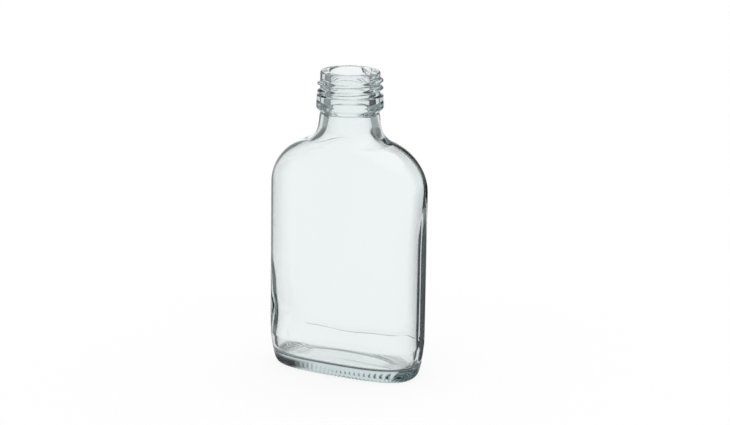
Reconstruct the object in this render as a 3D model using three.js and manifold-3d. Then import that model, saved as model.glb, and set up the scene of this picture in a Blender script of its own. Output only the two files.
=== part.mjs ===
// Pocket flask bottle of clear glass: a flat oval body, sloping shoulders, a round neck
// and a 28 mm roll-on finish. It is one hollow moulding, open at the lip.
// Millimetres, +Z up, origin in the middle of the base, the broad faces look along -Y and +Y.
import * as THREE from "three";
import { mergeVertices } from "three/addons/utils/BufferGeometryUtils.js";
import Module from "manifold-3d";

const wasm = await Module();
wasm.setup();

// Whole bottle
const bottleHeight = 128.8;
const bodyWidth = 68.6;
const bodyDepth = 33.6;

// Section of the body, a superellipse: its power is 2 on a round neck and higher where it is squarer
const roundPower = 2;
const bodyPower = 2.9;

// Heel, where the walls draw in to the base
const heelHeight = 19;
const heelInsetAtEnds = 3.7;
const heelInsetAtFaces = 4.6;

// Shoulder, seen from the front
const neckLength = 11.5;
const neckRootDiameter = 27.7;
const shoulderSlope = THREE.MathUtils.degToRad(15.5);
const shoulderRadius = 20.4;
const neckRootRadius = 8;

// Shoulder, seen from the end: the broad faces lean in to the neck
const faceLeanTopBelowRing = 5;
const faceLeanLength = 21;
const faceLeanTopDepth = 25;
const faceLeanRadius = 60;

// Neck and finish, with heights counted down from the lip
const finishHeight = 16.9;
const neckDiameter = 24.8;
const finishDiameter = 25;
const lipEdgeRadius = 0.9;
const ringTopDrop = 9.9;
const ringStepDrop = 13.3;
const ringBottomDrop = 15.3;
const ringUpperDiameter = 27.75;
const ringLowerDiameter = 28.1;
const ringEdgeRadius = 0.35;
const ringBevel = 0.4;

// Cavity
const boreDiameter = 16.2;
const boreLipRadius = 1.3;
const boreFootRadius = 17;
const endWall = 3;
const faceWall = 2.6;
const shoulderWall = 2.7;
const neckRootWall = 3.2;
const floorHeight = 6.5;
const floorEdgeRadius = 2.4;
const floorWallSwell = 1.2;
const floorWallSwellHeight = 8;
const floorWallSwellRadius = 8;

// Base
const bearingWidth = 3;
const pushUpHeight = 1.6;
const pushUpEdge = 1.2;

// Facets, and how far a cutting or joining solid runs past the face that it meets
const sectionPoints = 64;
const facetSag = 0.05;
const leastRise = 0.002;
const overrun = 2;

const halfWidth = bodyWidth / 2;
const halfDepth = bodyDepth / 2;
const neckRadius = neckDiameter / 2;
const boreRadius = boreDiameter / 2;
const neckTop = bottleHeight - finishHeight;
const neckRootHeight = neckTop - neckLength;
const shoulderRise = Math.tan(shoulderSlope);
const quarterTurn = Math.PI / 2;

// Height of the shoulder line at a half width, moved inwards by a wall
function shoulderHeight(across, wall) {
  const height = neckRootHeight - (across - neckRootDiameter / 2) * shoulderRise;
  return height - wall / Math.cos(shoulderSlope);
}

// Points of an arc that turns by an angle, close enough for its facets to keep within the sag
function arcPoints(curve, turn) {
  const radius = Math.max(curve.xRadius, curve.yRadius);
  const turnPerFacet = 2 * Math.acos(1 - Math.min(1, facetSag / radius));
  return curve.getPoints(Math.ceil(turn / turnPerFacet));
}

// Points of a quarter of an ellipse
function quarterPoints(centreX, centreY, xRadius, yRadius, from, clockwise) {
  const to = from + (clockwise ? -quarterTurn : quarterTurn);
  const curve = new THREE.EllipseCurve(centreX, centreY, xRadius, yRadius, from, to, clockwise);
  return arcPoints(curve, quarterTurn);
}

// Outline through corners (half size, height) with each inner corner rounded by its radius.
// Where two roundings would meet on a side that is too short for both, they shrink to fit.
function roundedOutline(corners, radii) {
  const points = corners.map(([across, height]) => new THREE.Vector2(across, height));
  const turns = radii.map((radius, i) => {
    const back = points[i].clone().sub(points[i + 1]).normalize();
    const ahead = points[i + 2].clone().sub(points[i + 1]).normalize();
    const half = Math.acos(back.dot(ahead)) / 2;
    return { back, ahead, half, reach: radius / Math.tan(half) };
  });
  const crowding = points.slice(1).map((point, i) => {
    const wanted = (turns[i - 1]?.reach ?? 0) + (turns[i]?.reach ?? 0);
    return Math.max(1, wanted / point.distanceTo(points[i]));
  });
  const outline = [points[0]];
  turns.forEach(({ back, ahead, half, reach }, i) => {
    const corner = points[i + 1];
    if (!reach) {
      outline.push(corner);
      return;
    }
    const fitted = reach / Math.max(crowding[i], crowding[i + 1]);
    const radius = fitted * Math.tan(half);
    const towardCentre = back.clone().add(ahead).normalize();
    const centre = corner.clone().addScaledVector(towardCentre, radius / Math.sin(half));
    const from = corner.clone().addScaledVector(back, fitted).sub(centre).angle();
    const to = corner.clone().addScaledVector(ahead, fitted).sub(centre).angle();
    const clockwise = back.cross(ahead) > 0;
    const arc = new THREE.EllipseCurve(centre.x, centre.y, radius, radius, from, to, clockwise);
    outline.push(...arcPoints(arc, Math.PI - 2 * half));
  });
  return [...outline, points.at(-1)];
}

// Outline that only rises, so that no two sections share a height
function rising(outline) {
  return outline.filter((point, i) => !i || point.y - outline[i - 1].y > leastRise);
}

// Half size of an outline at a height, straight between its points
function sizeAt(outline, height) {
  const above = outline.findIndex((point) => point.y >= height);
  if (above < 1) return (above ? outline.at(-1) : outline[0]).x;
  const [low, high] = [outline[above - 1], outline[above]];
  return THREE.MathUtils.mapLinear(height, low.y, high.y, low.x, high.x);
}

// Sections of a hollow or solid flask form, one at each height of its front outline
function flaskSections(front, end, neckHalf) {
  const widest = Math.max(...front.map((point) => point.x));
  return rising(front).map(({ x: across, y: height }) => {
    const bodyShare = Math.max(0, (across - neckHalf) / (widest - neckHalf));
    const power = THREE.MathUtils.lerp(roundPower, bodyPower, bodyShare);
    return { across, deep: sizeAt(end, height), power, height };
  });
}

// Closed solid through superellipse sections, from the lowest to the highest
function loft(sections) {
  const positions = [];
  const faces = [];
  for (const { across, deep, power, height } of sections) {
    for (let i = 0; i < sectionPoints; i++) {
      const turn = (2 * Math.PI * i) / sectionPoints;
      const [c, s] = [Math.cos(turn), Math.sin(turn)];
      const reach = (Math.abs(c) ** power + Math.abs(s) ** power) ** (-1 / power);
      positions.push(across * reach * c, deep * reach * s, height);
    }
  }
  for (let ring = 1; ring < sections.length; ring++) {
    for (let i = 0; i < sectionPoints; i++) {
      const next = (i + 1) % sectionPoints;
      const [low, lowNext] = [i, next].map((k) => (ring - 1) * sectionPoints + k);
      const [high, highNext] = [low + sectionPoints, lowNext + sectionPoints];
      faces.push(low, lowNext, highNext, low, highNext, high);
    }
  }
  const bottomCentre = positions.length / 3;
  positions.push(0, 0, sections[0].height, 0, 0, sections.at(-1).height);
  const topRing = bottomCentre - sectionPoints;
  for (let i = 0; i < sectionPoints; i++) {
    const next = (i + 1) % sectionPoints;
    faces.push(bottomCentre, next, i, bottomCentre + 1, topRing + i, topRing + next);
  }
  const geometry = new THREE.BufferGeometry();
  geometry.setAttribute("position", new THREE.Float32BufferAttribute(positions, 3));
  geometry.setIndex(faces);
  return geometry;
}

// manifold-3d solid of a closed geometry
function solid(geometry) {
  const bare = geometry.clone();
  bare.deleteAttribute("normal");
  bare.deleteAttribute("uv");
  const merged = mergeVertices(bare);
  return new wasm.Manifold(
    new wasm.Mesh({
      numProp: 3,
      vertProperties: merged.attributes.position.array,
      triVerts: new Uint32Array(merged.index.array),
    }),
  );
}

// Geometry of a manifold-3d solid, with flat facets
function geometryOf(made) {
  const { vertProperties, triVerts } = made.getMesh();
  const geometry = new THREE.BufferGeometry();
  geometry.setAttribute("position", new THREE.BufferAttribute(vertProperties, 3));
  geometry.setIndex(new THREE.BufferAttribute(triVerts, 1));
  const flat = geometry.toNonIndexed();
  flat.computeVertexNormals();
  return flat;
}

// Outside of the body, from the bearing plane to inside the locking ring
function bodyOutside() {
  const heel = (half, inset) => {
    return quarterPoints(half - inset, heelHeight, inset, heelHeight, -quarterTurn, false);
  };
  const topHeight = bottleHeight - ringStepDrop;
  const front = roundedOutline(
    [
      [halfWidth, heelHeight],
      [halfWidth, shoulderHeight(halfWidth, 0)],
      [neckRootDiameter / 2, neckRootHeight],
      [neckRadius, neckTop],
      [neckRadius, topHeight],
    ],
    [shoulderRadius, neckRootRadius, 0],
  );
  const leanTop = neckTop - faceLeanTopBelowRing;
  const end = roundedOutline(
    [
      [halfDepth, heelHeight],
      [halfDepth, leanTop - faceLeanLength],
      [faceLeanTopDepth / 2, leanTop],
      [neckRadius, neckTop],
      [neckRadius, topHeight],
    ],
    [faceLeanRadius, faceLeanRadius, 0],
  );
  const wholeFront = [...heel(halfWidth, heelInsetAtEnds), ...front.slice(1)];
  const wholeEnd = [...heel(halfDepth, heelInsetAtFaces), ...end.slice(1)];
  return solid(loft(flaskSections(wholeFront, wholeEnd, neckRadius)));
}

// Locking ring, finish wall and lip, turned about the axis
function finish() {
  const [upper, lower, wall] = [ringUpperDiameter / 2, ringLowerDiameter / 2, finishDiameter / 2];
  const below = (drop) => bottleHeight - drop;
  const outline = roundedOutline(
    [
      [0, neckTop],
      [neckRadius - ringBevel, neckTop],
      [lower, below(ringBottomDrop)],
      [lower, below(ringStepDrop)],
      [upper, below(ringStepDrop - (lower - upper))],
      [upper, below(ringTopDrop)],
      [wall, below(ringTopDrop - ringBevel)],
      [wall, bottleHeight],
      [0, bottleHeight],
    ],
    [0, ringEdgeRadius, 0, 0, ringEdgeRadius, ringEdgeRadius, lipEdgeRadius],
  );
  const turned = new THREE.LatheGeometry(outline, sectionPoints);
  turned.rotateX(Math.PI / 2);
  return solid(turned);
}

// Hollow of the bottle: floor, walls and shoulders within the glass, then the bore past the lip
function cavity() {
  const insideWidth = halfWidth - endWall;
  const insideDepth = halfDepth - faceWall;
  const swellTop = floorHeight + floorWallSwellHeight;
  const leanTop = neckTop - faceLeanTopBelowRing;
  const boreTop = bottleHeight - boreLipRadius;
  const floorRadii = [floorEdgeRadius, floorWallSwellRadius];
  const upFrom = (inside) => [
    [0, floorHeight],
    [inside - floorWallSwell, floorHeight],
    [inside, swellTop],
  ];
  const rootHalf = neckRootDiameter / 2 - neckRootWall;
  const front = roundedOutline(
    [
      ...upFrom(insideWidth),
      [insideWidth, shoulderHeight(insideWidth, shoulderWall)],
      [rootHalf, shoulderHeight(rootHalf, shoulderWall)],
      [boreRadius, neckTop],
      [boreRadius, boreTop],
    ],
    [...floorRadii, shoulderRadius - shoulderWall, neckRootRadius + neckRootWall, boreFootRadius],
  );
  const end = roundedOutline(
    [
      ...upFrom(insideDepth),
      [insideDepth, leanTop - faceLeanLength],
      [faceLeanTopDepth / 2 - neckRootWall, leanTop],
      [boreRadius, neckTop],
      [boreRadius, boreTop],
    ],
    [...floorRadii, faceLeanRadius, faceLeanRadius, boreFootRadius],
  );
  const mouth = boreRadius + boreLipRadius;
  const lip = quarterPoints(mouth, boreTop, boreLipRadius, boreLipRadius, Math.PI, true).slice(1);
  lip.push(new THREE.Vector2(mouth, bottleHeight + overrun));
  return solid(loft(flaskSections([...front, ...lip], [...end, ...lip], boreRadius)));
}

// Hollow under the base, inside the flat ring that the bottle stands on
function pushUp() {
  const across = halfWidth - heelInsetAtEnds - bearingWidth;
  const deep = halfDepth - heelInsetAtFaces - bearingWidth;
  const rim = { across, deep, power: bodyPower, height: 0 };
  const below = { ...rim, height: -overrun };
  const sections = [below, rim];
  const edge = quarterPoints(pushUpEdge, 0, pushUpEdge, pushUpHeight, Math.PI, true);
  for (const { x: inset, y: height } of edge.slice(1)) {
    sections.push({ ...rim, across: across - inset, deep: deep - inset, height });
  }
  return solid(loft(sections));
}

const glassBottle = bodyOutside().add(finish()).subtract(cavity()).subtract(pushUp());
const clearGlass = new THREE.MeshStandardMaterial({
  color: 0xecf2f3,
  roughness: 0.03,
  metalness: 0,
  transparent: true,
  opacity: 0.35,
});

const bottle = new THREE.Group();
const mesh = new THREE.Mesh(geometryOf(glassBottle), clearGlass);
mesh.name = "glass_bottle";
bottle.add(mesh);

export default bottle;
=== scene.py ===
# %% [markdown]
# # A pocket flask of clear glass
#
# The bottle is one moulding of clear glass: a flat oval body that fits a pocket, shoulders that slope up
# to a round neck, and a screw finish at the mouth. Glass shows what is behind and beside it, so three
# things make the picture: a closed wall with a true outside and a true inside, small features with real
# edges, and a studio for the glass to bend.
#
# The imported model gives the size and the place. It comes first, and its box gives the bottle's width,
# depth and height.

# %% Frame, units and libraries
import math
from typing import NamedTuple

import bmesh
import bpy
import numpy as np
from mathutils import Matrix, Vector


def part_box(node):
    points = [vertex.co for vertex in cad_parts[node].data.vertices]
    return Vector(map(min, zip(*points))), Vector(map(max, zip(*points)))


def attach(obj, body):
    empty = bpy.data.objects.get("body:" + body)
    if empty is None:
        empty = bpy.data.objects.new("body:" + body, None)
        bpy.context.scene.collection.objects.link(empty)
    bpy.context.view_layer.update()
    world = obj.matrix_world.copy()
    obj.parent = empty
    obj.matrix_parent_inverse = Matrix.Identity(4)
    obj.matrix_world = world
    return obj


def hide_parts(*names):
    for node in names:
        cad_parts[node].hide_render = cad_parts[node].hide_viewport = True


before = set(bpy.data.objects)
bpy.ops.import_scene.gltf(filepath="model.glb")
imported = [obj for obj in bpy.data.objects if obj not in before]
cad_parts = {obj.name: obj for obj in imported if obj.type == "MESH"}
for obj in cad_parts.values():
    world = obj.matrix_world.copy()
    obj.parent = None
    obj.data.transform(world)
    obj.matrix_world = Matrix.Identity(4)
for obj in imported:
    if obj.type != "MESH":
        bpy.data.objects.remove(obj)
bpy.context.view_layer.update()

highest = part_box("glass_bottle")[1]
half_width = highest.x
half_depth = highest.y
bottle_height = highest.z
print(f"bottle {2 * half_width:.4f} wide, {2 * half_depth:.4f} deep, {bottle_height:.4f} high")

# %% [markdown]
# ## Sizes of the outside
#
# A mould maker draws such a bottle as a few outlines: one from the front, one from the end, and one for
# the finish. Each corner of an outline has a radius. The same sizes are kept here, in metres, so that
# each ring of the wall can be worked out from them.

# %% Sizes of the body, the neck and the finish
heel_height = 0.019
heel_inset_at_ends = 0.0037
heel_inset_at_faces = 0.0046
neck_length = 0.0115
neck_root_half = 0.01385
shoulder_slope = math.radians(15.5)
shoulder_radius = 0.0204
neck_root_radius = 0.008
face_lean_top_below_ring = 0.005
face_lean_length = 0.021
face_lean_top_half = 0.0125
face_lean_radius = 0.06
round_power = 2
body_power = 2.9

finish_height = 0.0169
neck_radius = 0.0124
finish_radius = 0.0125
lip_edge_radius = 0.0007
ring_top_drop = 0.0099
ring_step_drop = 0.0133
ring_step_length = 0.0014
ring_step_radius = 0.002
ring_bottom_drop = 0.0153
ring_upper_radius = 0.013875
ring_lower_radius = 0.01405
ring_edge_radius = 0.00035
ring_bevel = 0.0004
neck_joint_radius = ring_edge_radius * 2.5

neck_top = bottle_height - finish_height
neck_root_height = neck_top - neck_length
lean_top = neck_top - face_lean_top_below_ring
print(f"neck from {neck_root_height:.4f} to {neck_top:.4f}")

# %% [markdown]
# ## Outlines with rounded corners
#
# A corner with a radius is an arc that touches both of its sides. One helper walks an outline from
# corner to corner and lays points along it a step apart, on the straight sides and on the arcs alike. An
# outline could also be a Bezier curve, but arcs keep the radii that a drawing gives.

# %% Rounded outline
def along_line(start, end, step):
    """Points from start up to but not including end, a step apart or closer."""
    length = (end - start).length
    if length < 1e-7:
        return []
    count = math.ceil(length / step)
    return [start.lerp(end, i / count) for i in range(count)]


def rounded_outline(corners, radii, step):
    """Points along an outline of (size, height) corners, with a radius for each inner corner."""
    points = [Vector(corner) for corner in corners]
    arcs = []
    for before, corner, after, radius in zip(points, points[1:], points[2:], radii):
        back = (before - corner).normalized()
        ahead = (after - corner).normalized()
        half = back.angle(ahead) / 2
        arcs.append((corner, back, ahead, half, radius / math.tan(half)))
    reaches = [0, *[arc[-1] for arc in arcs], 0]
    crowding = [
        max(1, (reaches[i] + reaches[i + 1]) / (points[i + 1] - points[i]).length)
        for i in range(len(points) - 1)
    ]
    outline = []
    leave = points[0]
    for i, (corner, back, ahead, half, reach) in enumerate(arcs):
        fitted = reach / max(crowding[i], crowding[i + 1])
        radius = fitted * math.tan(half)
        enter = corner + back * fitted
        outline += along_line(leave, enter, step)
        leave = corner + ahead * fitted
        if fitted:
            centre = corner + (back + ahead).normalized() * (radius / math.sin(half))
            turn = math.pi - 2 * half
            side = 1 if back.cross(ahead) < 0 else -1
            count = max(3, math.ceil(turn * radius / step))
            arm = enter - centre
            for k in range(count):
                angle = side * turn * k / count
                outline.append(centre + Matrix.Rotation(angle, 2) @ arm)
    outline += along_line(leave, points[-1], step)
    return [*outline, points[-1]]


test = rounded_outline([(0, 0), (1, 0), (1, 1)], [0.5], 0.2)
print(len(test), "points round a test corner, the middle one at", test[len(test) // 2])

# %% [markdown]
# ## Sections of the flask
#
# Cut level, the bottle is a circle at the neck and a flat oval with squarish ends at the body. Both are
# one family of curves, the superellipse: its power is 2 for a circle or an ellipse, and higher where it
# is squarer. A section here is two half sizes, a power and a height, and the power grows with the width.

# %% Section of the flask
class Section(NamedTuple):
    across: float
    deep: float
    power: float
    height: float


def size_at(outline, height):
    """Half size of an outline at a height; its heights only rise or only fall."""
    ordered = sorted(outline, key=lambda point: point.y)
    return float(np.interp(height, [p.y for p in ordered], [p.x for p in ordered]))


def power_at(half, neck_half, widest):
    """Power of a section: round at the neck, squarish at the widest place."""
    return round_power + (body_power - round_power) * max(0, (half - neck_half) / (widest - neck_half))


def flask_sections(front, end, neck_half, widest):
    """A section at each point of a front outline, as deep as the end outline is at that height."""
    return [
        Section(point.x, size_at(end, point.y), power_at(point.x, neck_half, widest), point.y)
        for point in front
    ]


def flat_sections(across, deep, power, height, shares):
    """Sections of a level floor, as shares of its half sizes."""
    return [Section(across * share, deep * share, power, height) for share in shares]


def round_section(radius, height):
    """Section of a turned part."""
    return Section(radius, radius, round_power, height)


def on_section(section, angle):
    """Place on a section at an angle, which stays the same from ring to ring."""
    c, s = math.cos(angle), math.sin(angle)
    power = section.power
    reach = (abs(c) ** power + abs(s) ** power) ** (-1 / power)
    return Vector((section.across * reach * c, section.deep * reach * s, section.height))


def quarter_turn(count):
    """Sine and cosine at even steps of a quarter turn."""
    return [(math.sin(a), math.cos(a)) for a in np.linspace(0, math.pi / 2, count)]


squarish = Section(half_width, half_depth, body_power, 0)
print("a squarish section has a corner at", on_section(squarish, math.pi / 4))

# %% [markdown]
# ## The base and the heel
#
# The glass is followed as one line: from the middle of the base out to the heel, up the outside, over the
# lip, down the bore and the inside, to the middle of the floor. Every ring of the wall is one section on
# that line, so the wall closes by itself and needs no boolean cut.
#
# The line starts on the push-up, a shallow hollow that keeps the middle of the base off the table. It
# falls along a soft slope to the flat bearing ring, and the heel then turns up on a quarter of an oval.

# %% Sections of the base and the heel
push_up_height = 0.0011
push_up_slope = 0.0025
bearing_width = 0.003
pole_share = 0.02
heel_power_share = 0.83

base_across = half_width - heel_inset_at_ends
base_deep = half_depth - heel_inset_at_faces
base_power = round_power + (body_power - round_power) * heel_power_share


def around_base(inwards, height):
    """A section of the base, this far inside its outer edge."""
    return Section(base_across - inwards, base_deep - inwards, base_power, height)


push_up_shares = [pole_share, *np.linspace(0.12, 1, 6)]
push_up_edge = around_base(bearing_width + push_up_slope, push_up_height)
base = flat_sections(
    push_up_edge.across, push_up_edge.deep, base_power, push_up_height, push_up_shares
)
for share in np.linspace(0, 1, 9)[1:]:
    fall = (1 + math.cos(math.pi * share)) / 2
    base.append(around_base(bearing_width + push_up_slope * (1 - share), push_up_height * fall))
base += [around_base(bearing_width * (1 - share), 0) for share in np.linspace(0, 1, 9)[1:-1]]
for s, c in quarter_turn(16):
    across = base_across + heel_inset_at_ends * s
    deep = base_deep + heel_inset_at_faces * s
    power = power_at(across, neck_radius, half_width)
    base.append(Section(across, deep, power, heel_height * (1 - c)))
print(len(base), "sections from the middle of the base to the top of the heel")

# %% [markdown]
# ## The walls, the shoulders and the neck
#
# From the front the wall is straight, turns into the shoulder on a large radius and sweeps up into the
# neck. From the end it is straight and leans in near the top. Long straight walls need few rings, and the
# curves need many, because a facet shows as a kink in the dark line that glass has along its edge.

# %% Sections of the walls, the shoulders and the neck
wall_step = 0.003
curve_step = 0.0013


def shoulder_height(across, wall=0.0):
    """Height of the shoulder line at a half width, moved inwards by a wall."""
    height = neck_root_height - (across - neck_root_half) * math.tan(shoulder_slope)
    return height - wall / math.cos(shoulder_slope)


def thinned(points, step):
    """Points of a straight wall, a step apart, where the outline has more."""
    kept = [points[0]]
    for before, point, after in zip(points, points[1:], points[2:]):
        straight = (point - before).normalized().dot((after - point).normalized()) > 1 - 1e-9
        if not straight or (point - kept[-1]).length >= step:
            kept.append(point)
    return [*kept, points[-1]]


front = rounded_outline(
    [
        (half_width, heel_height),
        (half_width, shoulder_height(half_width)),
        (neck_root_half, neck_root_height),
        (neck_radius, neck_top),
        (neck_radius, bottle_height),
    ],
    [shoulder_radius, neck_root_radius, 0],
    curve_step,
)
end = rounded_outline(
    [
        (half_depth, heel_height),
        (half_depth, lean_top - face_lean_length),
        (face_lean_top_half, lean_top),
        (neck_radius, neck_top),
        (neck_radius, bottle_height),
    ],
    [face_lean_radius, face_lean_radius, 0],
    curve_step,
)
body_front = [p for p in thinned(front, wall_step) if heel_height < p.y < neck_top - 1e-6]
body = flask_sections(body_front, end, neck_radius, half_width)
print(len(body), "sections from the heel to the locking ring")

# %% [markdown]
# ## The finish
#
# The mouth of a bottle is called its finish. Over the neck sits the locking ring, which holds the tamper
# band of a cap, then comes the wall for the thread, and a rounded lip on top. All of it is round, so each
# section is a circle. The rings lie close together, because the thread is raised out of them later.

# %% Sections of the finish and the lip
finish_step = 0.00018
bore_radius = 0.0081
bore_lip_radius = 0.0017


def below(drop):
    """Height of a level that is measured down from the lip."""
    return bottle_height - drop


finish_outline = rounded_outline(
    [
        (neck_radius, neck_top),
        (ring_lower_radius, below(ring_bottom_drop)),
        (ring_lower_radius, below(ring_step_drop)),
        (ring_upper_radius, below(ring_step_drop - ring_step_length)),
        (ring_upper_radius, below(ring_top_drop)),
        (finish_radius, below(ring_top_drop - ring_bevel)),
        (finish_radius, bottle_height),
        (bore_radius + bore_lip_radius, bottle_height),
    ],
    [
        neck_joint_radius,
        ring_step_radius,
        ring_step_radius,
        ring_edge_radius,
        ring_edge_radius,
        lip_edge_radius,
    ],
    finish_step,
)
finish = [round_section(point.x, point.y) for point in finish_outline]
bore_top = bottle_height - bore_lip_radius
lip = [
    round_section(bore_radius + bore_lip_radius * (1 - s), bore_top + bore_lip_radius * c)
    for s, c in quarter_turn(9)[1:]
]
print(len(finish) + len(lip), "sections of the finish and the lip")

# %% [markdown]
# ## The hollow
#
# The inside is not a copy of the outside made smaller. The ends are thinner than the faces, the floor is
# thick and swells into the wall, and the bore narrows to one diameter. So the hollow has outlines of its
# own, with a wall for each place. Low on the inside the rings lie close together, for the settle wave
# that is raised there later.

# %% Outlines of the hollow
end_wall = 0.0012
face_wall = 0.0022
shoulder_wall = 0.0016
neck_root_wall = 0.0032
bore_foot_radius = 0.017
floor_height = 0.0054
floor_edge_radius = 0.0024
floor_wall_swell = 0.0012
floor_wall_swell_height = 0.008
floor_wall_swell_radius = 0.008

inside_width = half_width - end_wall
inside_depth = half_depth - face_wall
inside_step = curve_step * 0.8
swell_top = floor_height + floor_wall_swell_height
root_half = neck_root_half - neck_root_wall


def wall_foot(inside):
    """Corners where the floor turns up into a wall."""
    return [
        (inside - floor_wall_swell - floor_edge_radius * 1.2, floor_height),
        (inside - floor_wall_swell, floor_height),
        (inside, swell_top),
    ]


inside_front = rounded_outline(
    [
        *wall_foot(inside_width),
        (inside_width, shoulder_height(inside_width, shoulder_wall)),
        (root_half, shoulder_height(root_half, shoulder_wall)),
        (bore_radius, neck_top),
        (bore_radius, bore_top),
    ],
    [
        floor_edge_radius,
        floor_wall_swell_radius,
        shoulder_radius - shoulder_wall,
        neck_root_radius + neck_root_wall,
        bore_foot_radius,
    ],
    inside_step,
)
inside_end = rounded_outline(
    [
        *wall_foot(inside_depth),
        (inside_depth, lean_top - face_lean_length),
        (face_lean_top_half - neck_root_wall, lean_top),
        (bore_radius, neck_top),
        (bore_radius, bore_top),
    ],
    [
        floor_edge_radius,
        floor_wall_swell_radius,
        face_lean_radius,
        face_lean_radius,
        bore_foot_radius,
    ],
    inside_step,
)
print(f"wall {1000 * end_wall:.1f} mm at the ends and {1000 * face_wall:.1f} mm at the faces")

# %% Sections of the hollow
settle_lowest = 0.0117
settle_highest = 0.0156
settle_above = 0.0018
settle_clearance = 0.0003
floor_shares = [pole_share, *np.linspace(0.12, 0.96, 8)]

settle_levels = [
    *np.linspace(settle_lowest, settle_highest, 40),
    *np.linspace(settle_highest, settle_highest + settle_above, 5)[1:],
]
inside_front = [p for p in thinned(inside_front, wall_step) if floor_height + 1e-6 < p.y < bore_top]
hollow_line = [
    *[p for p in inside_front if p.y < settle_levels[0] - settle_clearance],
    *[Vector((size_at(inside_front, level), level)) for level in settle_levels],
    *[p for p in inside_front if p.y > settle_levels[-1] + settle_clearance],
]
hollow = flask_sections(hollow_line, inside_end, bore_radius, inside_width)[::-1]
foot = hollow[-1]
hollow += flat_sections(foot.across, foot.deep, foot.power, floor_height, floor_shares[::-1])
print(len(hollow), "sections of the hollow")

# %% [markdown]
# ## Drawing the wall
#
# By hand this is one circle in edit mode, which is extruded and scaled again and again along the line. A
# lathe or a screw modifier would only give round sections. Here each extruded ring is then set on its
# section by the angle of its points, so the edges run up the bottle in straight lines.

# %% Rings of glass
points_around = 240
sections = [*base, *body, *finish, *lip, *hollow]


def deselect_all():
    """Nothing is selected, neither the frame's nodes nor an earlier piece."""
    bpy.ops.object.select_all(action="DESELECT")
    bpy.context.view_layer.objects.active = None


def draw_ring(piece, before, section):
    """Extrudes the selected cap and sets its points on the next section."""
    bpy.ops.mesh.extrude_region_move()
    shape = bmesh.from_edit_mesh(piece.data)
    for vertex in shape.verts:
        if not vertex.select:
            continue
        x, y = vertex.co.x / before.across, vertex.co.y / before.deep
        in_the_middle = math.hypot(x, y) < 0.5
        if in_the_middle:
            vertex.co.z = section.height
        else:
            vertex.co = on_section(section, math.atan2(y, x))
    bmesh.update_edit_mesh(piece.data, loop_triangles=False, destructive=False)


deselect_all()
first = sections[0]._replace(power=round_power)
bpy.ops.mesh.primitive_circle_add(
    vertices=points_around, radius=first.across, fill_type="TRIFAN", location=(0, 0, first.height)
)
flask = bpy.context.object
flask.name = "glass_flask"
bpy.ops.object.transform_apply(location=True, rotation=False, scale=False)
bpy.ops.object.mode_set(mode="EDIT")
bpy.ops.mesh.select_all(action="SELECT")
bpy.ops.transform.resize(value=(1, first.deep / first.across, 1))
for before, section in zip([first, *sections[1:]], sections[1:]):
    draw_ring(flask, before, section)
bpy.ops.mesh.select_all(action="SELECT")
bpy.ops.mesh.normals_make_consistent(inside=False)
bpy.ops.object.mode_set(mode="OBJECT")
bpy.ops.object.shade_smooth()
print(len(flask.data.vertices), "points and", len(flask.data.polygons), "faces in the wall")

# %% [markdown]
# ## The thread
#
# A 28 mm roll-on finish has a single right-hand thread of two turns, 3.18 mm apart, whose bead is rolled
# over by the cap. It could be a separate swept tube, but a tube inside glass shows as a second surface.
# So the wall itself is raised: each point of the finish moves out by the height of the bead at its own
# distance from the helix. The bead falls more steeply below than above, as a cap's pull asks.

# %% Helpers for the points of a piece
def points_of(piece):
    """The points of a piece as an array of x, y and z."""
    flat = np.empty(3 * len(piece.data.vertices))
    piece.data.vertices.foreach_get("co", flat)
    return flat.reshape(-1, 3)


def put_points(piece, points):
    """Writes an array of x, y and z back to a piece."""
    piece.data.vertices.foreach_set("co", points.ravel())
    piece.data.update()


def smooth_rise(value, low, high):
    """0 below low, 1 above high, smooth between."""
    share = np.clip((value - low) / (high - low), 0, 1)
    return share * share * (3 - 2 * share)


def smooth_fall(value, low, high):
    """1 below low, 0 above high, smooth between."""
    return 1 - smooth_rise(value, low, high)


def bell(value, centre, spread):
    """1 at the centre, falling off smoothly on both sides."""
    return np.exp(-((value - centre) / spread) ** 2)


print("half way up a smooth rise:", smooth_rise(0.5, 0, 1))

# %% Raise the thread
thread_pitch = 0.00318
thread_height = 0.00125
thread_half_width = 0.0012
thread_width_below = 0.75
thread_fullness = 0.8
thread_start = math.radians(103)
thread_start_drop = 0.00308
thread_turn = math.radians(675)
thread_fade = math.radians(35)

points = points_of(flask)
x, y, height = points.T.copy()
radius = np.hypot(x, y)
drop = bottle_height - height
on_wall = (np.abs(radius - finish_radius) < 1e-5) & (drop < ring_top_drop) & (drop > lip_edge_radius)
bead = np.zeros(len(points))
for lap in range(-2, 3):
    run = thread_start - np.arctan2(y, x) + 2 * math.pi * lap
    centre_drop = thread_start_drop + thread_pitch * run / (2 * math.pi)
    ends = smooth_rise(np.minimum(run, thread_turn - run), 0, thread_fade)
    width_share = np.where(drop > centre_drop, thread_width_below, 1)
    off_centre = np.clip(np.abs(drop - centre_drop) / (thread_half_width * width_share), 0, 1)
    rise = (1 + np.cos(math.pi * off_centre)) / 2
    bead = np.maximum(bead, rise ** thread_fullness * ends)
raised = 1 + on_wall * bead * thread_height / np.maximum(radius, 1e-6)
points[:, :2] *= raised[:, None]
put_points(flask, points)
print(int((bead * on_wall > 0.5).sum()), "points on the bead of the thread")

# %% [markdown]
# ## Unevenly blown glass
#
# The mould gives the outside its shape, but the inside is shaped by air, so no wall is even. This bottle
# has thicker glass low in both ends, a bulge low on the left, a soft ridge inside the right end and a
# thicker left shoulder. Clear glass shows each of them as a dark line along its edge. A displace modifier
# or sculpting could do it. Formulas were chosen, because each thickness then sits exactly where it is
# seen on the bottle, and the outside stays untouched.
#
# First the points of the inside are told from those of the outside, by how far out they lie on the
# section of the outside at their height.

# %% Points of the inside
inside_limit = 0.985
lowest_inside = floor_height - 0.0001


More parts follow.
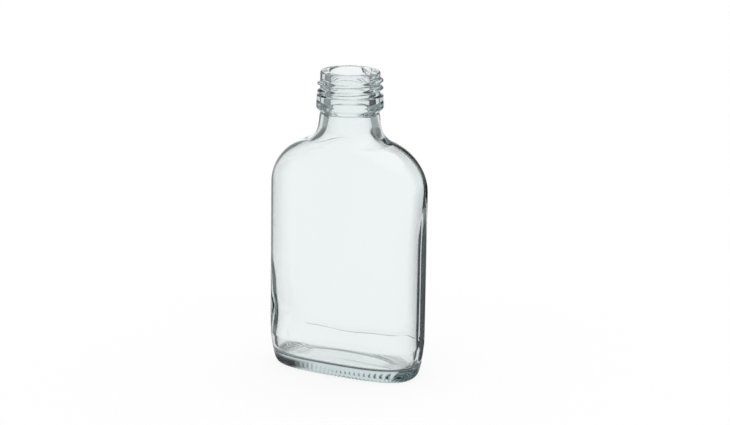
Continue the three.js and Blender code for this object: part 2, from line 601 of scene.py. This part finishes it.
def share_of_section(x, y, across, deep, power):
    """How far out places lie: 0 in the middle of a section, 1 on its line."""
    return (np.abs(x / across) ** power + np.abs(y / deep) ** power) ** (1 / power)


points = points_of(flask)
x, y, height = points.T.copy()
outside = np.array([section for section in [*base, *body] if section.height > floor_height / 2])
across, deep, power = (np.interp(height, outside[:, 3], outside[:, k]) for k in range(3))
outwards = share_of_section(x, y, across, deep, power)
inside = (outwards < inside_limit) & (height > lowest_inside) & (height < neck_root_height)
print(int(inside.sum()), "points inside")

# %% Thicker ends and left shoulder
end_extra = 0.0002
right_extra = 0.00135
right_fade = (0.054, 0.088)
left_extra = 0.0010
left_fade = (0.036, 0.047)
left_bulge = 0.0011
left_bulge_height = 0.0225
left_bulge_spread = 0.0075
ridge_rise = 0.0005
ridge_turn = 14
ridge_spread = 10.7
ridge_fade = (0.05, 0.084)
shoulder_extra = 0.00065
shoulder_side = (0.0105, 0.0245)
shoulder_start = (0.080, 0.094)

right = np.clip(x / inside_width, 0, 1) ** 3
left = np.clip(-x / inside_width, 0, 1) ** 3
thicker = right * (end_extra + right_extra * smooth_fall(height, *right_fade))
thicker += left * left_extra * smooth_fall(height, *left_fade)
thicker += left * left_bulge * bell(height, left_bulge_height, left_bulge_spread)
turn = np.degrees(np.arctan2(y / deep, x / across))
ridge = ridge_rise * right * bell(turn, ridge_turn, ridge_spread) * smooth_fall(height, *ridge_fade)
sunk = shoulder_extra * smooth_rise(-x, *shoulder_side) * smooth_rise(height, *shoulder_start)
print(f"up to {1000 * thicker.max():.2f} mm more glass at the ends")

# %% [markdown]
# ## The settle wave
#
# A bottle gets its first shape in one mould and is blown to its last in another. Glass that touched the
# first mould longer is cooler and stretches less, and where it meets the rest, low on the wall, a wavy
# line stays, called the settle wave. Here it is a ridge inside the back wall: steep below, where it bends
# light up into the dark of the studio, and soft above. A line painted on the glass would be simpler, but
# it wouldn't move against the wall when the view turns.

# %% Settle wave inside the back wall
settle_height = 0.0126
settle_rise = 0.0014
settle_below = 0.0007
settle_ends = (-0.030, 0.026)
settle_curve = 3.4
settle_lean = 0.043
settle_ripple = 0.0002
ripple_rate = 260
ripple_shift = 0.5
settle_swell = 0.12
swell_rate = 190
swell_shift = 0.8
back_start = (0.006, 0.011)
left_start = (-0.029, -0.024)

line_x = np.clip(x, *settle_ends)
line_height = settle_height + settle_curve * line_x ** 2 + settle_lean * line_x
line_height += settle_ripple * np.sin(ripple_rate * x + ripple_shift)
lift = height - line_height
soft_side = (1 + np.cos(math.pi * np.clip(lift / settle_above, 0, 1))) / 2
steep_side = np.clip(1 + lift / settle_below, 0, 1)
wave = settle_rise * np.where(lift < 0, steep_side, soft_side)
wave *= 1 - settle_swell + settle_swell * np.sin(swell_rate * x + swell_shift)
wave *= smooth_rise(y, *back_start) * smooth_rise(x, *left_start)
print(f"settle wave from {line_height[inside].min():.4f} to {line_height[inside].max():.4f} high")

# %% Move the points of the inside
points[:, 2] -= inside * sunk
points[:, 1] -= inside * wave
points[:, 0] -= inside * np.sign(x) * thicker
points[:, :2] *= (1 - inside * ridge / np.maximum(np.hypot(x, y), 1e-6))[:, None]
put_points(flask, points)
print("largest move", round(1000 * float(np.abs(points[:, 0] - x).max()), 2), "mm across")

# %% [markdown]
# ## Ribs under the base
#
# Hot bottles are set down on a moving belt, and a row of fine ribs keeps the base off it. They show as a
# row of dots through the heel. An array of small solids along a curve would give the ribs too, but they
# would be loose pieces inside the glass. So the foot of the wall gets finer edges with subdivide, and
# its points are then lifted between the ribs.

# %% Finer edges round the foot
rib_top = 0.0018
rib_cuts = 2
foot_start = 0.75
half_step = math.pi / points_around


def on_foot(point):
    """Whether a point is low enough and far enough out for the ribs."""
    outwards = math.hypot(point.x / base_across, point.y / base_deep)
    return point.z <= rib_top and outwards >= foot_start


def turn_on_base(point):
    """Angle round the base, the same along each line from ring to ring."""
    return math.atan2(point.y / base_deep, point.x / base_across)


bpy.context.view_layer.objects.active = flask
bpy.ops.object.mode_set(mode="EDIT")
bpy.ops.mesh.select_all(action="DESELECT")
shape = bmesh.from_edit_mesh(flask.data)
for edge in shape.edges:
    one, two = (vertex.co for vertex in edge.verts)
    if on_foot(one) and on_foot(two):
        change = abs(turn_on_base(one) - turn_on_base(two))
        edge.select_set(half_step < min(change, 2 * math.pi - change))
bmesh.update_edit_mesh(flask.data)
bpy.ops.mesh.subdivide(number_cuts=rib_cuts)
bpy.ops.object.mode_set(mode="OBJECT")
print("mesh of", len(flask.data.polygons), "faces")

# %% Lift the foot between the ribs
rib_pitch = 0.00175
rib_depth = 0.0004
rib_sharpness = 1.5
rib_start = 1 - bearing_width / base_deep
rib_run_in = 0.05
rib_fade = (0.0004, rib_top)
notch_depth = 0.02
notch_edge = (0.97, 1.03)
ring_places = 1441

foot_line = Section(base_across, base_deep, base_power, 0)
ring = [on_section(foot_line, angle) for angle in np.linspace(-math.pi, math.pi, ring_places)]
ring_turns = np.array([math.atan2(point.y, point.x) for point in ring])
ring_turns[0] = -math.pi
ring_turns[-1] = math.pi
steps = [(after - before).length for before, after in zip(ring, ring[1:])]
along_ring = np.concatenate([[0], np.cumsum(steps)])
rib_count = round(along_ring[-1] / rib_pitch)

points = points_of(flask)
x, y, height = points.T.copy()
run = np.interp(np.arctan2(y, x), ring_turns, along_ring) / along_ring[-1]
valley = (1 + np.cos(2 * math.pi * rib_count * run)) / 2
outwards = share_of_section(x, y, base_across, base_deep, base_power)
ribbed = smooth_rise(outwards, rib_start, rib_start + rib_run_in) * smooth_fall(height, *rib_fade)
points[:, 2] += rib_depth * valley ** rib_sharpness * ribbed
points[:, :2] *= 1 - (notch_depth * valley * ribbed * smooth_rise(outwards, *notch_edge))[:, None]
put_points(flask, points)
print(rib_count, "ribs,", round(1000 * along_ring[-1] / rib_count, 2), "mm apart")

# %% Place of the bottle in the frame
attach(flask, "root")
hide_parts("glass_bottle")
print("the flask stands for the packed bottle")

# %% [markdown]
# ## Clear glass
#
# Flint glass is the trade's word for clear bottle glass. Its index of refraction is 1.52, and iron in the
# sand leaves a faint blue-green, which shows most where light runs a long way inside, as in the heel and
# along the edges. A tinted surface would colour thin and thick places alike, so the tint is a volume
# absorption. Blown glass is never quite flat, so a very faint bump makes its reflections drift.

# %% Glass
glass_index = 1.52
glass_tint = (0.6, 0.7, 0.7125, 1)
tint_density = 40
drift_scale = 45
drift_height = 0.00006

glass = bpy.data.materials.new("clear_flint_glass")
glass.use_nodes = True
nodes, links = glass.node_tree.nodes, glass.node_tree.links
surface = nodes["Principled BSDF"]
surface.inputs["Base Color"].default_value = (0.985, 1, 1, 1)
surface.inputs["Roughness"].default_value = 0.0
surface.inputs["IOR"].default_value = glass_index
surface.inputs["Transmission Weight"].default_value = 1

drift = nodes.new("ShaderNodeTexNoise")
drift.inputs["Scale"].default_value = drift_scale
drift.inputs["Detail"].default_value = 1
links.new(nodes.new("ShaderNodeTexCoord").outputs["Object"], drift.inputs["Vector"])
waviness = nodes.new("ShaderNodeBump")
waviness.inputs["Strength"].default_value = 1
waviness.inputs["Distance"].default_value = drift_height
links.new(drift.outputs["Fac"], waviness.inputs["Height"])
links.new(waviness.outputs["Normal"], surface.inputs["Normal"])

absorb = nodes.new("ShaderNodeVolumeAbsorption")
absorb.inputs["Color"].default_value = glass_tint
absorb.inputs["Density"].default_value = tint_density
links.new(absorb.outputs["Volume"], nodes["Material Output"].inputs["Volume"])
flask.data.materials.append(glass)
print("glass with an index of", glass_index)

# %% [markdown]
# ## The camera
#
# The picture looks down on the bottle a little, from the right of its front, with a long lens, so the
# upright edges stay nearly parallel. The camera is built from a few turns that can each be read: round
# the bottle, back and up, a little to the side, down, and a slight roll.

# %% Camera
camera_distance = 1.0
camera_height = 0.3211
camera_yaw = math.radians(28.068)
camera_pan = math.radians(-0.393)
camera_pitch = math.radians(14.18)
camera_roll = math.radians(0.822)
sensor_width = 36
focal_length = 121.39

lens = bpy.data.cameras.new("product_camera")
lens.sensor_width = sensor_width
lens.lens = focal_length
camera = bpy.data.objects.new("product_camera", lens)
bpy.context.scene.collection.objects.link(camera)
camera.matrix_world = (
    Matrix.Rotation(camera_yaw, 4, "Z")
    @ Matrix.Translation((0, -camera_distance, camera_height))
    @ Matrix.Rotation(camera_pan, 4, "Z")
    @ Matrix.Rotation(math.pi / 2 - camera_pitch, 4, "X")
    @ Matrix.Rotation(camera_roll, 4, "Z")
)
bpy.context.scene.camera = camera
print("camera at", camera.matrix_world.translation)

# %% [markdown]
# ## A studio for clear glass
#
# Clear glass on white disappears, unless its edges meet something dark. Photographers light it from
# behind with a bright background and stand dark cards just out of the picture: light that comes straight
# through stays white, and light that the edges mirror or bend far away shows the cards as dark lines.
#
# Real cards could be modelled as planes, but they would stand in the picture of other views. So they are
# painted on the room and the floor, and the Light Path node keeps them out of the white background. Light
# straight through the glass meets white. Light that a surface has mirrored meets grey walls, with a gap
# of white behind the bottle. Light that the glass bends upwards meets a dark card at the right, and
# darkness higher up. No real studio can tell mirrored light from straight light. Here that keeps the
# background white right up to the glass, while the edges of the glass turn dark.

# %% Helpers for shader nodes
white = (1, 1, 1, 1)
black = (0, 0, 0, 1)


def set_or_link(tree, value, socket):
    """Gives a socket a number, or links another socket to it."""
    if isinstance(value, bpy.types.NodeSocket):
        tree.links.new(value, socket)
    else:
        socket.default_value = value


def math_node(tree, operation, *values):
    """A Math node on sockets or numbers."""
    node = tree.nodes.new("ShaderNodeMath")
    node.operation = operation
    for socket, value in zip(node.inputs, values):
        set_or_link(tree, value, socket)
    return node.outputs["Value"]


def mask_node(tree, value, start, full):
    """0 where the value is at start, 1 where it is at full, smooth between."""
    node = tree.nodes.new("ShaderNodeMapRange")
    node.interpolation_type = "SMOOTHSTEP"
    set_or_link(tree, value, node.inputs["Value"])
    node.inputs["From Min"].default_value = start
    node.inputs["From Max"].default_value = full
    return node.outputs["Result"]


def blend_node(tree, share, first, second):
    """The first colour where the share is 0, the second where it is 1."""
    node = tree.nodes.new("ShaderNodeMix")
    node.data_type = "RGBA"
    set_or_link(tree, share, node.inputs["Factor"])
    set_or_link(tree, first, node.inputs["A"])
    set_or_link(tree, second, node.inputs["B"])
    return node.outputs["Result"]


def coordinates(tree, place):
    """The three coordinates of a place."""
    parts = tree.nodes.new("ShaderNodeSeparateXYZ")
    tree.links.new(place, parts.inputs["Vector"])
    return parts.outputs["X"], parts.outputs["Y"], parts.outputs["Z"]


def length_node(tree, place):
    """Distance of a place from the middle."""
    node = tree.nodes.new("ShaderNodeVectorMath")
    node.operation = "LENGTH"
    tree.links.new(place, node.inputs[0])
    return node.outputs["Value"]


print("white is", white, "and black is", black)

# %% Helpers for the studio
def side_of(tree, place, beside):
    """Share of a turn at which a place lies, 0.5 straight behind the bottle in the main view."""
    turn = tree.nodes.new("ShaderNodeMapping")
    turn.inputs["Rotation"].default_value = (0, 0, -camera_yaw)
    tree.links.new(place, turn.inputs["Vector"])
    across, ahead, _ = coordinates(tree, turn.outputs["Vector"])
    past = math_node(tree, "SUBTRACT", math_node(tree, "ABSOLUTE", across), beside)
    past = math_node(tree, "MAXIMUM", past, 0)
    past = math_node(tree, "MULTIPLY", past, math_node(tree, "SIGN", across))
    side = math_node(tree, "ARCTAN2", past, ahead)
    return math_node(tree, "MULTIPLY_ADD", side, 0.5 / math.pi, 0.5)


def grey_by_side(tree, side, stops):
    """Grey of the studio by the side on which it lies, from stops in degrees; dark greys are cool."""
    ramp = tree.nodes.new("ShaderNodeValToRGB")
    tree.links.new(side, ramp.inputs["Fac"])
    elements = ramp.color_ramp.elements
    while len(elements) < len(stops):
        elements.new(0.5)
    for element, (degrees, level) in zip(elements, stops):
        element.position = (degrees + 180) / 360
        element.color = (level * (0.92 + 0.08 * level), level, level, 1)
    return ramp.outputs["Color"]


def mirrored_share(tree):
    """0 for the camera and for light straight through the glass, 1 once a surface has mirrored it."""
    path = tree.nodes.new("ShaderNodeLightPath")
    return math_node(tree, "MINIMUM", path.outputs["Glossy Depth"], 1)


def rising(start, full):
    """Two angles over the horizon as heights on a ball, for a mask."""
    return math.sin(math.radians(start)), math.sin(math.radians(full))


print("30 degrees up is", round(rising(0, 30)[1], 2), "of the way to the top")

# %% [markdown]
# ## The room
#
# The room is the world's background. An image of a real studio could light it, but then no single grey
# could be set. So each wall is a ring of greys, given at angles to the left and right of the main view's
# direction, and it stays where it is when the view turns. For mirrored light the low walls are an even
# grey with a white gap behind the bottle. Higher up the gap gets narrower and the walls beside it darker,
# and the ceiling is white again.

# %% Greys of the room
low_walls = [
    (-180, 0.7), (-90, 0.7), (-72, 0.41), (-24, 0.41), (-12, 1),
    (10, 1), (18, 0.4), (72, 0.4), (90, 0.7), (180, 0.7),
]
high_walls = [
    (-180, 0.7), (-90, 0.7), (-72, 0.4), (-60, 0.38), (-50, 0.16), (-14, 0.24), (-6, 1),
    (4, 1), (10, 0.35), (18, 0.18), (36, 0.18), (46, 0.35), (72, 0.33), (90, 0.7), (180, 0.7),
]
behind_glass = [
    (-180, 0.8), (-60, 0.8), (-30, 1), (5, 1), (18, 0.02), (60, 0.02), (90, 0.8), (180, 0.8),
]
dark_above = (0.05, 0.055, 0.055, 1)
high_from = rising(5, 15)
ceiling_from = rising(38, 50)
bent_up_from = rising(2, 9)
dark_from = rising(26, 32)
print(len(low_walls) + len(high_walls) + len(behind_glass), "grey stops in the room")

# %% Room
room = bpy.data.worlds.new("studio_room")
bpy.context.scene.world = room
room.use_nodes = True
tree = room.node_tree
place = tree.nodes.new("ShaderNodeTexCoord").outputs["Generated"]
side = side_of(tree, place, 0)
up = coordinates(tree, place)[2]

low = grey_by_side(tree, side, low_walls)
high = grey_by_side(tree, side, high_walls)
walls = blend_node(tree, mask_node(tree, up, *high_from), low, high)
walls = blend_node(tree, mask_node(tree, up, *ceiling_from), walls, white)

behind = grey_by_side(tree, side, behind_glass)
behind = blend_node(tree, mask_node(tree, up, *dark_from), behind, dark_above)
from_glass = tree.nodes.new("ShaderNodeLightPath").outputs["Is Transmission Ray"]
bent_up = math_node(tree, "MULTIPLY", mask_node(tree, up, *bent_up_from), from_glass)
through = blend_node(tree, bent_up, white, behind)

seen = blend_node(tree, mirrored_share(tree), through, walls)
tree.links.new(seen, tree.nodes["Background"].inputs["Color"])
print(len(tree.nodes), "nodes in the room")

# %% View and light bounces
glass_bounces = 32
mirror_bounces = 16

scene = bpy.context.scene
scene.view_settings.view_transform = "Standard"
scene.cycles.max_bounces = glass_bounces
scene.cycles.transmission_bounces = glass_bounces
scene.cycles.glossy_bounces = mirror_bounces
print("light may pass", glass_bounces, "surfaces")

# %% [markdown]
# ## The floor
#
# The floor is a sheet of white paper. To the camera it is plain white with the bottle's faint shadow. To
# mirrored light it has dark cards at both sides, darkest close to the bottle, and a white gap behind it,
# as the room has. Under the bottle a shade is painted on the paper, for the little light that gets in
# there, so the glass of the base sees the paper darker, and most of all at the two ends. A plain white
# plane would be simpler, but then the foot of the bottle would vanish in it.

# %% Floor
floor_radius = 1
floor_corners = 96

deselect_all()
bpy.ops.mesh.primitive_circle_add(
    vertices=floor_corners, radius=floor_radius, fill_type="NGON", location=(0, 0, 0)
)
table = bpy.context.object
table.name = "studio_floor"
paper = bpy.data.materials.new("white_paper")
paper.use_nodes = True
tree = paper.node_tree
tree.nodes.clear()
table.data.materials.append(paper)
print("floor", 2 * floor_radius, "m wide")

# %% Cards on the floor
near_cards = [
    (-180, 0.7), (-90, 0.7), (-72, 0.08), (-15, 0.08), (-9, 1),
    (14, 1), (18, 0.07), (90, 0.07), (110, 0.7), (180, 0.7),
]
far_cards = [
    (-180, 0.7), (-90, 0.7), (-72, 0.32), (-15, 0.32), (-9, 1),
    (14, 1), (18, 0.1), (90, 0.1), (110, 0.7), (180, 0.7),
]
card_gap = 0.037
far_start = (0.1, 0.2)

place = tree.nodes.new("ShaderNodeTexCoord").outputs["Object"]
side = side_of(tree, place, card_gap)
far = mask_node(tree, length_node(tree, place), *far_start)
near_grey = grey_by_side(tree, side, near_cards)
far_grey = grey_by_side(tree, side, far_cards)
cards = blend_node(tree, far, near_grey, far_grey)
mirrored = mirrored_share(tree)
seen = blend_node(tree, mirrored, white, cards)
print("cards start", card_gap, "m beside the middle")

# %% Painted shade under the bottle
mirrored_shade = 0.85
straight_shade = 0.02
end_shade = 0.5
shade_edge = (1.25, 0.95)
end_edge = (0.74, 0.88)
ends_middle = 0.03

measure = tree.nodes.new("ShaderNodeMapping")
measure.inputs["Scale"].default_value = (1 / half_width, 1 / half_depth, 1)
tree.links.new(place, measure.inputs["Vector"])
in_bottle = measure.outputs["Vector"]
# A shade is painted on the paper under the bottle, darkest at its two ends; only light through or off the
# glass sees it.
painted_shade_under = mask_node(tree, length_node(tree, in_bottle), *shade_edge)
along = math_node(tree, "ADD", coordinates(tree, in_bottle)[0], -ends_middle)
painted_shade_at_ends = mask_node(tree, math_node(tree, "ABSOLUTE", along), *end_edge)
strength = math_node(tree, "MULTIPLY_ADD", painted_shade_at_ends, end_shade, straight_shade)
strength = math_node(tree, "MULTIPLY_ADD", mirrored, mirrored_shade, strength)
path = tree.nodes.new("ShaderNodeLightPath").outputs
by_glass = math_node(tree, "MAXIMUM", path["Is Transmission Ray"], path["Is Glossy Ray"])
shade = math_node(tree, "MULTIPLY", painted_shade_under, math_node(tree, "MULTIPLY", strength, by_glass))
shaded = blend_node(tree, shade, seen, black)
print(f"shade reaches {shade_edge[0] * half_depth:.4f} m in front of the middle")

# %% White paper
paper_shadow = 0.15

glow = tree.nodes.new("ShaderNodeEmission")
glow.inputs["Strength"].default_value = 1 - paper_shadow
tree.links.new(shaded, glow.inputs["Color"])
matt = tree.nodes.new("ShaderNodeBsdfDiffuse")
tree.links.new(blend_node(tree, paper_shadow, black, shaded), matt.inputs["Color"])
both = tree.nodes.new("ShaderNodeAddShader")
tree.links.new(glow.outputs["Emission"], both.inputs[0])
tree.links.new(matt.outputs["BSDF"], both.inputs[1])
output = tree.nodes.new("ShaderNodeOutputMaterial")
tree.links.new(both.outputs["Shader"], output.inputs["Surface"])
print(len(tree.nodes), "nodes in the paper")
